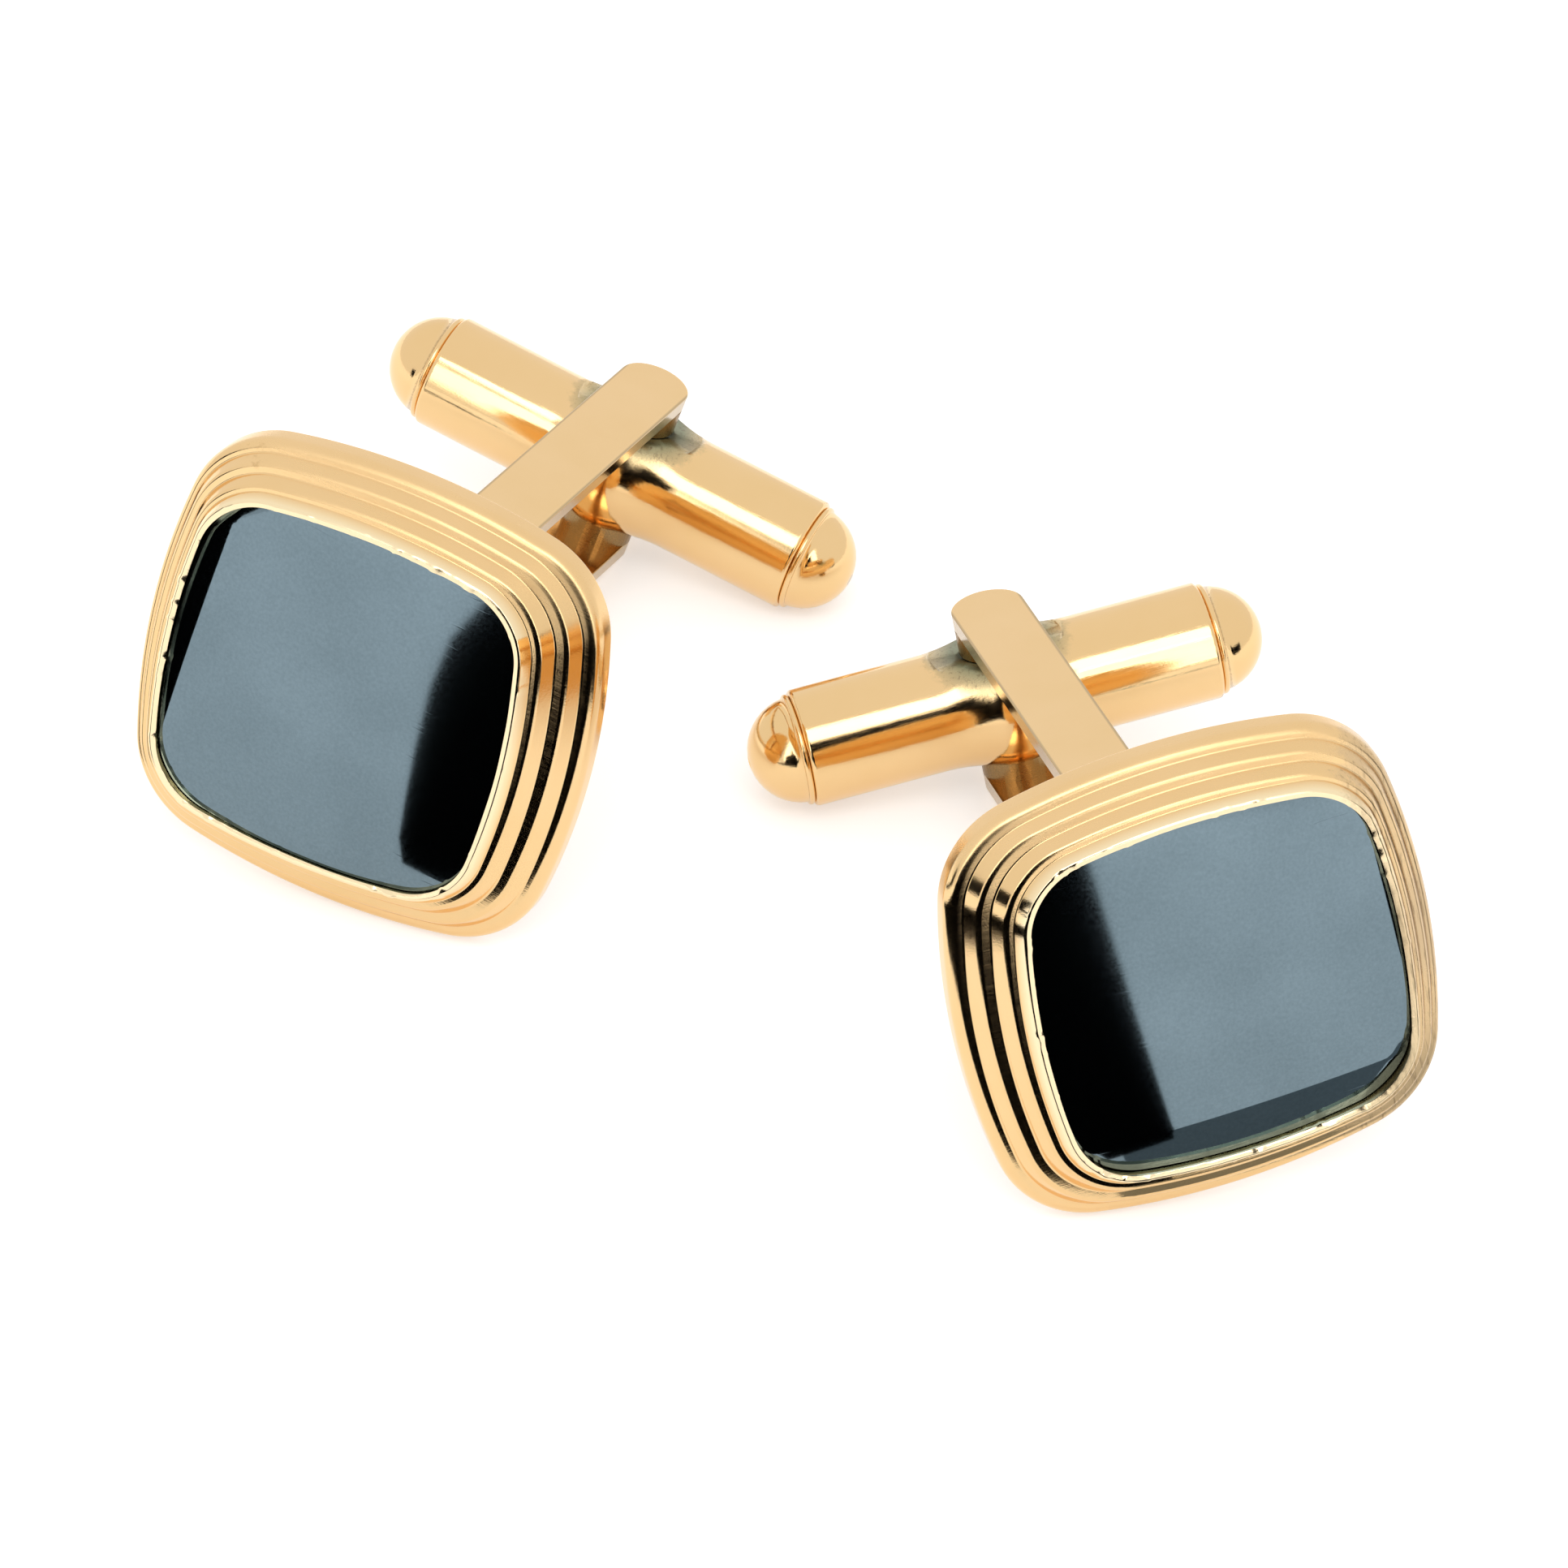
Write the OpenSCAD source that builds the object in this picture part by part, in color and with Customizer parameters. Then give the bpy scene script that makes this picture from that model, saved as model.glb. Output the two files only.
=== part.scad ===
// A pair of swivel-bar cufflinks with stepped cushion faces set with black onyx.
// Each cufflink is built about the pivot of its toggle: X runs along the toggle,
// -Y runs along the post to the front of the face, and Z is the axle.

/* [Stone] */
// Width of the stone between the middles of its bowed sides
stone_w = 12.1; // [11.5:0.05:12.6]
// How far each side of the stone bows out from its corners
stone_bow = 0.75; // [0.4:0.05:1.1]
// Corner radius of the stone
stone_corner = 2.5; // [2.2:0.1:3.2]
// Thickness of the stone at its middle
stone_t = 1.3; // [1:0.05:1.4]
// Radius of the low dome on the stone
dome_r = 55; // [40:1:90]
// Gap all round between the stone and its seat
stone_fit = 0.03; // [0.02:0.01:0.06]

/* [Stepped face] */
// Wall of the thin lip that is closed over the stone
lip_wall = 0.2; // [0.15:0.01:0.3]
// Width of the groove at the foot of the lip
lip_groove_w = 0.18; // [0.16:0.01:0.22]
// Depth of that groove
lip_groove_deep = 0.25; // [0.15:0.01:0.35]
// How far the upper step reaches past the lip
upper_run = 0.48; // [0.44:0.02:0.7]
// How far the middle step reaches past the upper one
middle_run = 0.6; // [0.45:0.02:0.8]
// How far the lower step reaches past the middle one
lower_run = 0.6; // [0.45:0.02:0.8]
// Height of the lower step above the back of the face
lower_rise = 1.1; // [0.9:0.01:1.2]
// Height of the middle step above the lower one
middle_rise = 0.5; // [0.4:0.01:0.65]
// Height of the upper step above the middle one
upper_rise = 0.5; // [0.4:0.01:0.65]
// Height of the lip above the upper step
lip_rise = 0.4; // [0.3:0.01:0.5]
// Round of the lower step's shoulder
lower_round = 0.45; // [0.2:0.01:0.5]
// Round of the middle step's shoulder
middle_round = 0.36; // [0.15:0.01:0.4]
// Round of the upper step's outer shoulder
upper_round = 0.17; // [0.08:0.01:0.2]
// Round of its edge above the groove
bead_round = 0.09; // [0.04:0.01:0.1]
// Round of the lip's edge
lip_round = 0.08; // [0.04:0.01:0.09]
// Round of the back edge of the face
back_round = 0.14; // [0.1:0.01:0.3]
// Depth and height of the shadow line at the foot of each step
foot_line = 0.05; // [0.03:0.01:0.12]
// How far the stone sits off the middle of the face, away from the pair's middle
stone_offset = 0.5; // [0:0.05:0.5]

/* [Seat and back plate] */
// Width of the ledge that the stone rests on
ledge_w = 0.7; // [0.5:0.05:0.9]
// Thickness of that ledge
ledge_t = 0.5; // [0.4:0.05:0.6]
// Thickness of the back plate
plate_t = 0.9; // [0.6:0.05:0.9]
// Rim of the face outside the back plate
plate_rim = 0.8; // [0.7:0.05:1]
// Gap all round between the back plate and its recess
plate_fit = 0.02; // [0.01:0.01:0.04]

/* [Post] */
// From the toggle's pivot to the back of the face
post_l = 20.95; // [18:0.05:24]
// Width of the post's two arms
arm_w = 2.48; // [2.2:0.05:3.2]
// Thickness of the strip that the post is bent from
arm_t = 0.6; // [0.5:0.05:0.8]
// Clear width between the arms
fork_gap = 5.48; // [5.3:0.02:6.2]
// How far the round ends of the arms reach past the pivot
arm_end = 1.3; // [1:0.01:1.6]
// Inside radius of the bends at the foot of the post
bend_in = 0.35; // [0.2:0.05:0.8]

/* [Axle] */
// Diameter of the axle pin
pin_d = 1; // [0.8:0.05:1.1]
// Depth of the blind holes in the arms that hold the pin
pin_seat = 0.4; // [0.3:0.02:0.45]
// Gap all round a pressed pin
press_fit = 0.01; // [0.005:0.005:0.02]
// Running gap of the barrel on the pin and at the washers
run_fit = 0.04; // [0.02:0.01:0.08]
// Diameter of the washers between barrel and arms
washer_d = 2.5; // [2:0.1:3]
// Width of the square locking cam on the pin
cam_w = 1.6; // [1.4:0.05:1.7]
// Diameter that the corners of the cam are turned down to
cam_d = 1.9; // [1.7:0.05:2]
// Height of the cam
cam_h = 2; // [1.6:0.05:2]

/* [Toggle] */
// Length of the toggle over its caps
toggle_l = 18; // [16:0.1:20]
// Diameter of the barrel
barrel_d = 4.04; // [3.9:0.02:4.4]
// Bore of the barrel
bore_d = 2.9; // [2.8:0.02:3]
// Diameter of the round swelling at the hub
hub_d = 4.9; // [4.6:0.05:5]
// Radius of the swelling's crown, seen along its edge
crown_r = 2.2; // [1.8:0.1:2.3]
// Radius of the hollow curves that blend the swelling into the barrel
hub_blend = 5.5; // [4:0.1:7]
// Width across the two flats at the hub
flats_w = 3.7; // [3.5:0.02:3.8]
// Diameter of the round flats
flat_d = 4.6; // [4.3:0.05:5.6]
// Round of the barrel's end edges
barrel_round = 0.16; // [0.08:0.02:0.24]
// Diameter of the half-round caps
cap_d = 3.64; // [3.3:0.02:3.7]
// Length of the stub of a cap inside the barrel
stub_l = 1.4; // [1:0.1:2]
// Thickness of the rolled ring at the foot of a cap
ring_t = 0.22; // [0.14:0.02:0.3]
// Length of the leaf spring
leaf_l = 6; // [5:0.1:8]
// Width of the leaf spring
leaf_w = 0.8; // [0.6:0.05:1]
// Thickness of the leaf spring
leaf_t = 0.18; // [0.12:0.01:0.2]

/* [How the pair lies] */
// Right cufflink's pivot
right_at = [7.261, 3.978, 3.568];
// Right cufflink's turn about the vertical
right_turn_angle = 16.9; // [-90:0.1:90]
// Upward tilt of its face
right_tilt_angle = 12.6; // [-90:0.1:90]
// Its roll about the post
right_roll_angle = 10.8; // [-90:0.1:90]
// Turn of its face about the post, from square with the axle
right_face_angle = 1; // [-10:0.1:10]
// Swing of its toggle about the axle, from straight across the post
right_toggle_angle = -3; // [-90:0.5:90]
// Left cufflink's pivot
left_at = [-6.334, 15.878, 3.571];
// Left cufflink's turn about the vertical
left_turn_angle = -20.7; // [-90:0.1:90]
// Upward tilt of its face
left_tilt_angle = 11.8; // [-90:0.1:90]
// Its roll about the post
left_roll_angle = -13; // [-90:0.1:90]
// Turn of its face about the post, from square with the axle
left_face_angle = 7; // [-10:0.1:10]
// Swing of its toggle about the axle, from straight across the post
left_toggle_angle = 2; // [-90:0.5:90]

/* [Hidden] */
$fn = 96;
// Overrun of the cuts
over = 0.5;
// How much wider outlines bow out more and have rounder corners
bow_share = 0.33;
corner_share = 0.5;
// Segments of an outline's sides and corners, of each rounded edge, and of the dome
side_steps = 10;
corner_steps = 7;
round_steps = 4;
dome_steps = 5;
// Half widths of the outlines, from the stone outwards
stone_half = stone_w / 2;
seat_half = stone_half + stone_fit;
window_half = seat_half - ledge_w;
lip_half = seat_half + lip_wall;
upper_half = lip_half + upper_run;
middle_half = upper_half + middle_run;
lower_half = middle_half + lower_run;
recess_half = lower_half - plate_rim;
plate_half = recess_half - plate_fit;
// Heights above the back of the face
middle_top = lower_rise + middle_rise;
upper_top = middle_top + upper_rise;
lip_top = upper_top + lip_rise;
seat_z = plate_t + ledge_t;
bead_w = upper_run - lip_groove_w;
groove_z = upper_top - lip_groove_deep;
// Places along the axle and the toggle
arm_in = fork_gap / 2;
arm_out = arm_in + arm_t;
pin_half = arm_in + pin_seat;
cap_r = cap_d / 2;
cap_at = toggle_l / 2 - cap_r;
hub_lift = (hub_d - barrel_d) / 2;
blend_sum = crown_r + hub_blend;
crown_share = crown_r / blend_sum;
blend_end = sqrt(2 * blend_sum * hub_lift - hub_lift * hub_lift);
leaf_near = cam_d / 2 + run_fit;
leaf_far = sqrt(bore_d * bore_d - leaf_w * leaf_w) / 2 - press_fit;
leaf_rise = leaf_far - leaf_near - leaf_t;
leaf_r = (leaf_l * leaf_l / 4 + leaf_rise * leaf_rise) / (2 * leaf_rise);

// Bow and corner radius of the outline with this half width
function bow(half) = stone_bow + bow_share * (half - stone_half);
function corner(half) = stone_corner + corner_share * (half - stone_half);
// Radius of an outline's bowed sides, and how far their centres lie past the middle
function side_r(half) = (half * half + bow(half) * bow(half)) / (2 * bow(half));
function side_c(half) = side_r(half) - half;
// Both coordinates of a corner's centre
function corner_c(half) =
    (sqrt(2 * pow(side_r(half) - corner(half), 2) - pow(side_c(half), 2)) - side_c(half)) / 2;
// Direction in which a side's arc meets the corner's
function meet(half) = atan2(corner_c(half) + side_c(half), corner_c(half));
// How far an outline's middle lies off the face's own
function off(half) = stone_offset * (lower_half - max(half, lip_half)) / (lower_half - lip_half);

// A cushion outline, filled
module cushion(half) {
    reach = corner_c(half) + corner(half) * cos(meet(half));
    for (q = [0:3])
        rotate(90 * q) {
            intersection() {
                translate([0, -side_c(half)]) circle(side_r(half));
                translate([-reach, 0]) square([2 * reach, half + over]);
            }
            translate([corner_c(half), corner_c(half)]) circle(corner(half));
        }
}

// Points of a cushion outline, drawn in by an inset parallel to it
function turn(p, q) = q == 0 ? p : q == 1 ? [-p[1], p[0]] : q == 2 ? -p : [p[1], -p[0]];
function outline(half, inset) = [
    for (q = [0:3])
        each concat(
            [for (i = [0:side_steps - 1])
                let (a = meet(half) + (180 - 2 * meet(half)) * i / side_steps)
                turn((side_r(half) - inset) * [cos(a), sin(a)] - [0, side_c(half)], q)],
            [for (i = [0:corner_steps - 1])
                let (a = 180 - meet(half) + (2 * meet(half) - 90) * i / corner_steps)
                turn(corner_c(half) * [-1, 1] + (corner(half) - inset) * [cos(a), sin(a)], q)])
];

// Rings of a rounded shoulder, from its wall to its top. A ring is [half width, inset,
// height, sideways offset].
function shoulder(half, top, r, away) = [
    for (i = [0:round_steps])
        let (a = 90 * i / round_steps)
        [half, r * (1 - cos(a)), top - r * (1 - sin(a)), away]
];
// Rings of the fine shadow line at the foot of a step
function foot(half, z, away) = [
    [half, foot_line, z, away],
    [half, foot_line, z + foot_line, away],
    [half, 0, z + 2 * foot_line, away]
];

// Close a run of rings into a solid frame
module frame(rings) {
    n = 4 * (side_steps + corner_steps);
    last = len(rings);
    points = [for (r = rings, p = outline(r[0], r[1])) [p[0] + r[3], p[1], r[2]]];
    faces = [
        for (j = [0:last - 1], i = [0:n - 1])
            let (a = j * n + i, b = j * n + (i + 1) % n)
            let (d = (j + 1) % last * n + i, c = (j + 1) % last * n + (i + 1) % n)
            each [[a, d, c], [a, c, b]]
    ];
    polyhedron(points, faces, convexity = 6);
}

// Stepped casting that holds the stone
module bezel(out) {
    m_off = out * off(middle_half);
    u_off = out * off(upper_half);
    s_off = out * stone_offset;
    frame(concat(
        [for (i = [0:round_steps])
            let (a = 90 * i / round_steps)
            [lower_half, back_round * (1 - sin(a)), back_round * (1 - cos(a)), 0]],
        shoulder(lower_half, lower_rise, lower_round, 0),
        foot(middle_half, lower_rise, m_off),
        shoulder(middle_half, middle_top, middle_round, m_off),
        foot(upper_half, middle_top, u_off),
        shoulder(upper_half, upper_top, upper_round, u_off),
        [for (i = [0:round_steps])
            let (a = 90 * i / round_steps)
            [upper_half, bead_w - bead_round * (1 - sin(a)), upper_top - bead_round * (1 - cos(a)),
                u_off]],
        [[upper_half, bead_w, groove_z, u_off], [lip_half, 0, groove_z, s_off]],
        shoulder(lip_half, lip_top, lip_round, s_off),
        [[seat_half, 0, lip_top - lip_round / 2, s_off],
            [seat_half, 0, seat_z, s_off],
            [window_half, 0, seat_z, s_off],
            [window_half, 0, plate_t, s_off],
            [recess_half, 0, plate_t, 0],
            [recess_half, 0, 0, 0]]));
}

// Black onyx with a low dome, its outline drawn in toward the middle ring by ring
module onyx(out) {
    n = 4 * (side_steps + corner_steps);
    dome_c = seat_z + stone_t - dome_r;
    rim = outline(stone_half, 0);
    points = concat(
        [for (p = rim) [p[0], p[1], seat_z]],
        [for (j = [0:dome_steps - 1], p = (1 - j / dome_steps) * rim)
            [p[0], p[1], dome_c + sqrt(dome_r * dome_r - p * p)]],
        [[0, 0, seat_z + stone_t]]);
    faces = concat(
        [[for (i = [0:n - 1]) i]],
        [for (j = [0:dome_steps - 1], i = [0:n - 1])
            let (a = j * n + i, b = j * n + (i + 1) % n)
            each [[a, a + n, b + n], [a, b + n, b]]],
        [for (i = [0:n - 1]) [dome_steps * n + i, len(points) - 1, dome_steps * n + (i + 1) % n]]);
    translate([out * stone_offset, 0, 0]) polyhedron(points, faces, convexity = 2);
}

module back_plate() {
    linear_extrude(plate_t) cushion(plate_half);
}

// Outline of the bent strip seen from its edge, filled, with rounded bends
module strip_edge(half, foot, r) {
    translate([-arm_end, -half]) square([post_l + arm_end - foot - r, 2 * half]);
    translate([-arm_end, r - half]) square([post_l + arm_end - foot, 2 * (half - r)]);
    for (s = [-1, 1])
        translate([post_l - foot - r, s * (half - r)]) circle(r);
}

// Post of one strip bent to a U, with round ends on both arms
module post_fork() {
    difference() {
        intersection() {
            rotate([90, 0, -90])
                linear_extrude(arm_w, center = true)
                    difference() {
                        strip_edge(arm_out, 0, bend_in + arm_t);
                        translate([-over, 0]) strip_edge(arm_in, arm_t, bend_in);
                        translate([-over - arm_end, -arm_in])
                            square([post_l - arm_t - bend_in, fork_gap]);
                        translate([post_l / 2, bend_in - arm_in])
                            square([post_l / 2 - arm_t, fork_gap - 2 * bend_in]);
                        for (s = [-1, 1])
                            translate([post_l - arm_t - bend_in, s * (arm_in - bend_in)])
                                circle(bend_in);
                    }
            linear_extrude(2 * arm_out + over, center = true) {
                translate([-arm_w / 2, -post_l]) square([arm_w, post_l + arm_end - arm_w / 2]);
                translate([0, arm_end - arm_w / 2]) circle(arm_w / 2);
            }
        }
        cylinder(h = 2 * pin_half, d = pin_d + 2 * press_fit, center = true);
    }
}

module axle_pin() {
    cylinder(h = 2 * pin_half, d = pin_d, center = true);
}

// Square cam that the leaf spring bears on, its corners turned down
module cam() {
    difference() {
        intersection() {
            cube([cam_w, cam_w, cam_h], center = true);
            cylinder(h = cam_h + over, d = cam_d, center = true);
        }
        cylinder(h = cam_h + over, d = pin_d + 2 * press_fit, center = true);
    }
}

module washer() {
    translate([0, 0, flats_w / 2 + run_fit])
        difference() {
            cylinder(h = arm_in - flats_w / 2 - run_fit, d = washer_d);
            translate([0, 0, -over]) cylinder(h = arm_in + over, d = pin_d + 2 * press_fit);
        }
}

// Half of the barrel's outline: x is the radius, y runs from the pivot to the cap
module barrel_half_profile() {
    square([barrel_d / 2, cap_at - barrel_round]);
    square([barrel_d / 2 - barrel_round, cap_at]);
    translate([barrel_d / 2 - barrel_round, cap_at - barrel_round]) circle(barrel_round);
    intersection() {
        translate([hub_d / 2 - crown_r, 0]) circle(crown_r);
        square([hub_d / 2, crown_share * blend_end]);
    }
    difference() {
        square([hub_d / 2 - crown_share * hub_lift, blend_end]);
        translate([barrel_d / 2 + hub_blend, blend_end]) circle(hub_blend);
    }
}

// Hollow barrel with a swelling and two round flats at its hub
module barrel() {
    difference() {
        rotate([0, 90, 0])
            rotate_extrude() {
                barrel_half_profile();
                mirror([0, 1]) barrel_half_profile();
            }
        rotate([0, 90, 0]) cylinder(h = toggle_l, d = bore_d, center = true);
        for (s = [0, 1])
            mirror([0, 0, s])
                translate([0, 0, flats_w / 2]) cylinder(h = hub_d, d = flat_d);
        cylinder(h = hub_d, d = pin_d + 2 * run_fit, center = true);
    }
}

// Half-round cap with its rolled ring and the stub that is pressed into the barrel
module cap(s) {
    rotate([0, 90 * s, 0])
        rotate_extrude() {
            intersection() {
                translate([0, cap_at]) circle(cap_r);
                translate([0, cap_at]) square(cap_d);
            }
            translate([0, cap_at]) square([cap_r, ring_t / 2]);
            translate([cap_r - press_fit, cap_at + ring_t / 2]) circle(ring_t / 2);
            translate([0, cap_at - stub_l]) square([bore_d / 2 - press_fit, stub_l + ring_t / 2]);
        }
}

// Bowed leaf that bears on the cam and holds the toggle across the post or in line with it
module leaf_spring() {
    translate([0, leaf_near + leaf_t + leaf_r, 0])
        linear_extrude(leaf_w, center = true)
            difference() {
                intersection() {
                    circle(leaf_r + leaf_t, $fn = 360);
                    translate([-leaf_l / 2, -leaf_r - leaf_t - over])
                        square([leaf_l, leaf_r]);
                }
                circle(leaf_r, $fn = 360);
            }
}

// Stand a face built flat on the post's end, with its back at the post's foot
module on_post(turn) {
    translate([0, -post_l, 0]) rotate([90, 0, 0]) rotate([0, 0, turn]) children();
}

// Lay a cufflink down by its pivot: turned about the vertical, its face tilted up, then
// rolled about its post
module lay(at, turn, tilt, roll) {
    translate(at)
        rotate([0, 0, turn])
            rotate([-tilt, 0, 0])
                rotate([0, -roll, 0]) children();
}
module lay_left() {
    lay(left_at, left_turn_angle, left_tilt_angle, left_roll_angle) children();
}
module lay_right() {
    lay(right_at, right_turn_angle, right_tilt_angle, right_roll_angle) children();
}

// Swing a toggle's pieces about the axle
module swing_left() {
    lay_left() rotate([0, 0, left_toggle_angle]) children();
}
module swing_right() {
    lay_right() rotate([0, 0, right_toggle_angle]) children();
}

module left_bezel() { color("#e6bd82") lay_left() on_post(left_face_angle) bezel(-1); }
module left_onyx() { color("#16181a") lay_left() on_post(left_face_angle) onyx(-1); }
module left_back_plate() { color("#dcb074") lay_left() on_post(left_face_angle) back_plate(); }
module left_post_fork() { color("#e3c28c") lay_left() post_fork(); }
module left_axle_pin() { color("#b9b4a8") lay_left() axle_pin(); }
module left_cam() { color("#a7a39a") lay_left() cam(); }
module left_upper_washer() { color("#c99a5b") lay_left() washer(); }
module left_lower_washer() { color("#c99a5b") lay_left() mirror([0, 0, 1]) washer(); }
module left_barrel() { color("#ecc488") swing_left() barrel(); }
module left_inner_cap() { color("#e8bf84") swing_left() cap(1); }
module left_outer_cap() { color("#e8bf84") swing_left() cap(-1); }
module left_leaf_spring() { color("#8d8f92") swing_left() leaf_spring(); }
module right_bezel() { color("#e6bd82") lay_right() on_post(right_face_angle) bezel(1); }
module right_onyx() { color("#16181a") lay_right() on_post(right_face_angle) onyx(1); }
module right_back_plate() { color("#dcb074") lay_right() on_post(right_face_angle) back_plate(); }
module right_post_fork() { color("#e3c28c") lay_right() post_fork(); }
module right_axle_pin() { color("#b9b4a8") lay_right() axle_pin(); }
module right_cam() { color("#a7a39a") lay_right() cam(); }
module right_upper_washer() { color("#c99a5b") lay_right() washer(); }
module right_lower_washer() { color("#c99a5b") lay_right() mirror([0, 0, 1]) washer(); }
module right_barrel() { color("#ecc488") swing_right() barrel(); }
module right_inner_cap() { color("#e8bf84") swing_right() cap(-1); }
module right_outer_cap() { color("#e8bf84") swing_right() cap(1); }
module right_leaf_spring() { color("#8d8f92") swing_right() leaf_spring(); }

left_bezel();
left_onyx();
left_back_plate();
left_post_fork();
left_axle_pin();
left_cam();
left_upper_washer();
left_lower_washer();
left_barrel();
left_inner_cap();
left_outer_cap();
left_leaf_spring();
right_bezel();
right_onyx();
right_back_plate();
right_post_fork();
right_axle_pin();
right_cam();
right_upper_washer();
right_lower_washer();
right_barrel();
right_inner_cap();
right_outer_cap();
right_leaf_spring();
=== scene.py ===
import math

import bmesh
import bpy
import numpy as np
from mathutils import Matrix, Vector


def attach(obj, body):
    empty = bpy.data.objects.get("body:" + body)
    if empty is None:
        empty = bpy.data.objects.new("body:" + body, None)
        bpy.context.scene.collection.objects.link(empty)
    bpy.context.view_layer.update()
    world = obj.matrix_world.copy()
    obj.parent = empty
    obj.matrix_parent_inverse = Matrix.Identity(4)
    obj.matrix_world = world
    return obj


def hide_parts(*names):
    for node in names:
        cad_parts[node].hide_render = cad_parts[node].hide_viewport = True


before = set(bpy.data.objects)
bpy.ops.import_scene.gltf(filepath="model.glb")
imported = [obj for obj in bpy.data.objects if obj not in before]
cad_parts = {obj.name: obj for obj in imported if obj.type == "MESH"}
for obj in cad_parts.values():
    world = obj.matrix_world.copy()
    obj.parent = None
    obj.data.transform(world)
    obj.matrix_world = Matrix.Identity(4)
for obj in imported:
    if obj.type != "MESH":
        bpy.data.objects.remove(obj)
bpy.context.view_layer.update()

# The camera
# It looks down at 37 degrees from the front with a long lens, rolled by 4 degrees, as the
# photograph was taken. The sizes of the camera, the table and the lights are metres.
CAMERA_AT = (0.000016, -0.270352, 0.208787)
LOOK_DOWN = math.radians(37.39)
CAMERA_ROLL = math.radians(3.85)
FOCAL_PX, FRAME_PX = 12500, 1932
SENSOR_MM = 36
NEAR_CLIP = 0.01
ahead = Vector((0, math.cos(LOOK_DOWN), -math.sin(LOOK_DOWN)))
level_up = Vector((0, math.sin(LOOK_DOWN), math.cos(LOOK_DOWN)))
level_right = Vector((1, 0, 0))
right_hand = level_right * math.cos(CAMERA_ROLL) + level_up * math.sin(CAMERA_ROLL)
up_hand = level_up * math.cos(CAMERA_ROLL) - level_right * math.sin(CAMERA_ROLL)
aimed = Matrix((right_hand, up_hand, -ahead)).transposed().to_4x4()
camera = bpy.data.objects.new("camera", bpy.data.cameras.new("camera"))
bpy.context.scene.collection.objects.link(camera)
camera.matrix_world = Matrix.Translation(CAMERA_AT) @ aimed
camera.data.sensor_width = SENSOR_MM
camera.data.lens = FOCAL_PX / FRAME_PX * SENSOR_MM
camera.data.clip_start = NEAR_CLIP
bpy.context.scene.camera = camera
bpy.context.scene.view_settings.view_transform = "Standard"


# The table and its lights
# A sheet of white card under and behind the pair, in an even white surround, with soft boxes
# overhead. Round them stand dark cards, which only the polished surfaces see.
def linear(hex_colour):
    """Linear colour of an sRGB hex value."""
    parts = [int(hex_colour[i:i + 2], 16) / 255 for i in (1, 3, 5)]
    return tuple(p / 12.92 if p <= 0.04045 else ((p + 0.055) / 1.055) ** 2.4 for p in parts) + (1.0,)


def add(tree, kind, values=None, links=None, **settings):
    """Add a node with its settings, its sockets' values and its links from (node, output)."""
    made = tree.nodes.new(kind)
    for name, value in settings.items():
        setattr(made, name, value)
    for socket, value in (values or {}).items():
        made.inputs[socket].default_value = value
    for socket, (source, output) in (links or {}).items():
        tree.links.new(source.outputs[output], made.inputs[socket])
    return made


def fresh(owner):
    """Clear the node tree of a material or world and return it with its output."""
    owner.use_nodes = True
    owner.node_tree.nodes.clear()
    kind = "ShaderNodeOutputWorld" if isinstance(owner, bpy.types.World) else "ShaderNodeOutputMaterial"
    return owner.node_tree, owner.node_tree.nodes.new(kind)


def card(name, corners, material, reflected_only=False):
    """A flat card through its corners."""
    mesh = bpy.data.meshes.new(name)
    mesh.from_pydata(corners, [], [tuple(range(len(corners)))])
    made = bpy.data.objects.new(name, mesh)
    bpy.context.scene.collection.objects.link(made)
    made.data.materials.append(material)
    if reflected_only:
        made.visible_camera = made.visible_diffuse = made.visible_shadow = False


def level(corners, z):
    """Corners (x, y) of a level card, at a height."""
    return [(x, y, z) for x, y in corners]


# The surround lights at a little under white, and the camera sees it as white
WORLD_LEVEL = 0.93
world = bpy.data.worlds.new("white surround")
bpy.context.scene.world = world
tree, out = fresh(world)
rays = add(tree, "ShaderNodeLightPath")
seen_white = add(tree, "ShaderNodeMapRange", {"To Min": WORLD_LEVEL, "To Max": 1.0},
                 {"Value": (rays, "Is Camera Ray")})
surround = add(tree, "ShaderNodeBackground", {"Color": linear("#ffffff")},
               {"Strength": (seen_white, 0)})
tree.links.new(surround.outputs[0], out.inputs[0])

# Matt white card, lifted to white where the camera sees it and, a little less, in mirrors
SEEN_LIFT, MIRRORED_LIFT = 0.42, 0.36
white_card = bpy.data.materials.new("white card")
tree, out = fresh(white_card)
rays = add(tree, "ShaderNodeLightPath")
paper = add(tree, "ShaderNodeBsdfDiffuse", {"Color": linear("#e4e4e4"), "Roughness": 0.5})
seen = add(tree, "ShaderNodeMath", {1: SEEN_LIFT}, {0: (rays, "Is Camera Ray")}, operation="MULTIPLY")
lift = add(tree, "ShaderNodeMath", {1: MIRRORED_LIFT}, {0: (rays, "Is Glossy Ray"), 2: (seen, 0)},
           operation="MULTIPLY_ADD")
glow = add(tree, "ShaderNodeEmission", {"Color": linear("#ffffff")}, {"Strength": (lift, 0)})
both = add(tree, "ShaderNodeAddShader", links={0: (paper, 0), 1: (glow, 0)})
tree.links.new(both.outputs[0], out.inputs[0])

FLOOR_HALF = 1.5
card("floor", level([(-FLOOR_HALF, -FLOOR_HALF), (FLOOR_HALF, -FLOOR_HALF),
                     (FLOOR_HALF, FLOOR_HALF), (-FLOOR_HALF, FLOOR_HALF)], 0), white_card)


def matt(name, colour):
    """Matt card of one colour, which gives the eye no gloss."""
    made = bpy.data.materials.new(name)
    tree, out = fresh(made)
    flock = add(tree, "ShaderNodeBsdfDiffuse", {"Color": linear(colour)})
    tree.links.new(flock.outputs[0], out.inputs[0])
    return made


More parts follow.
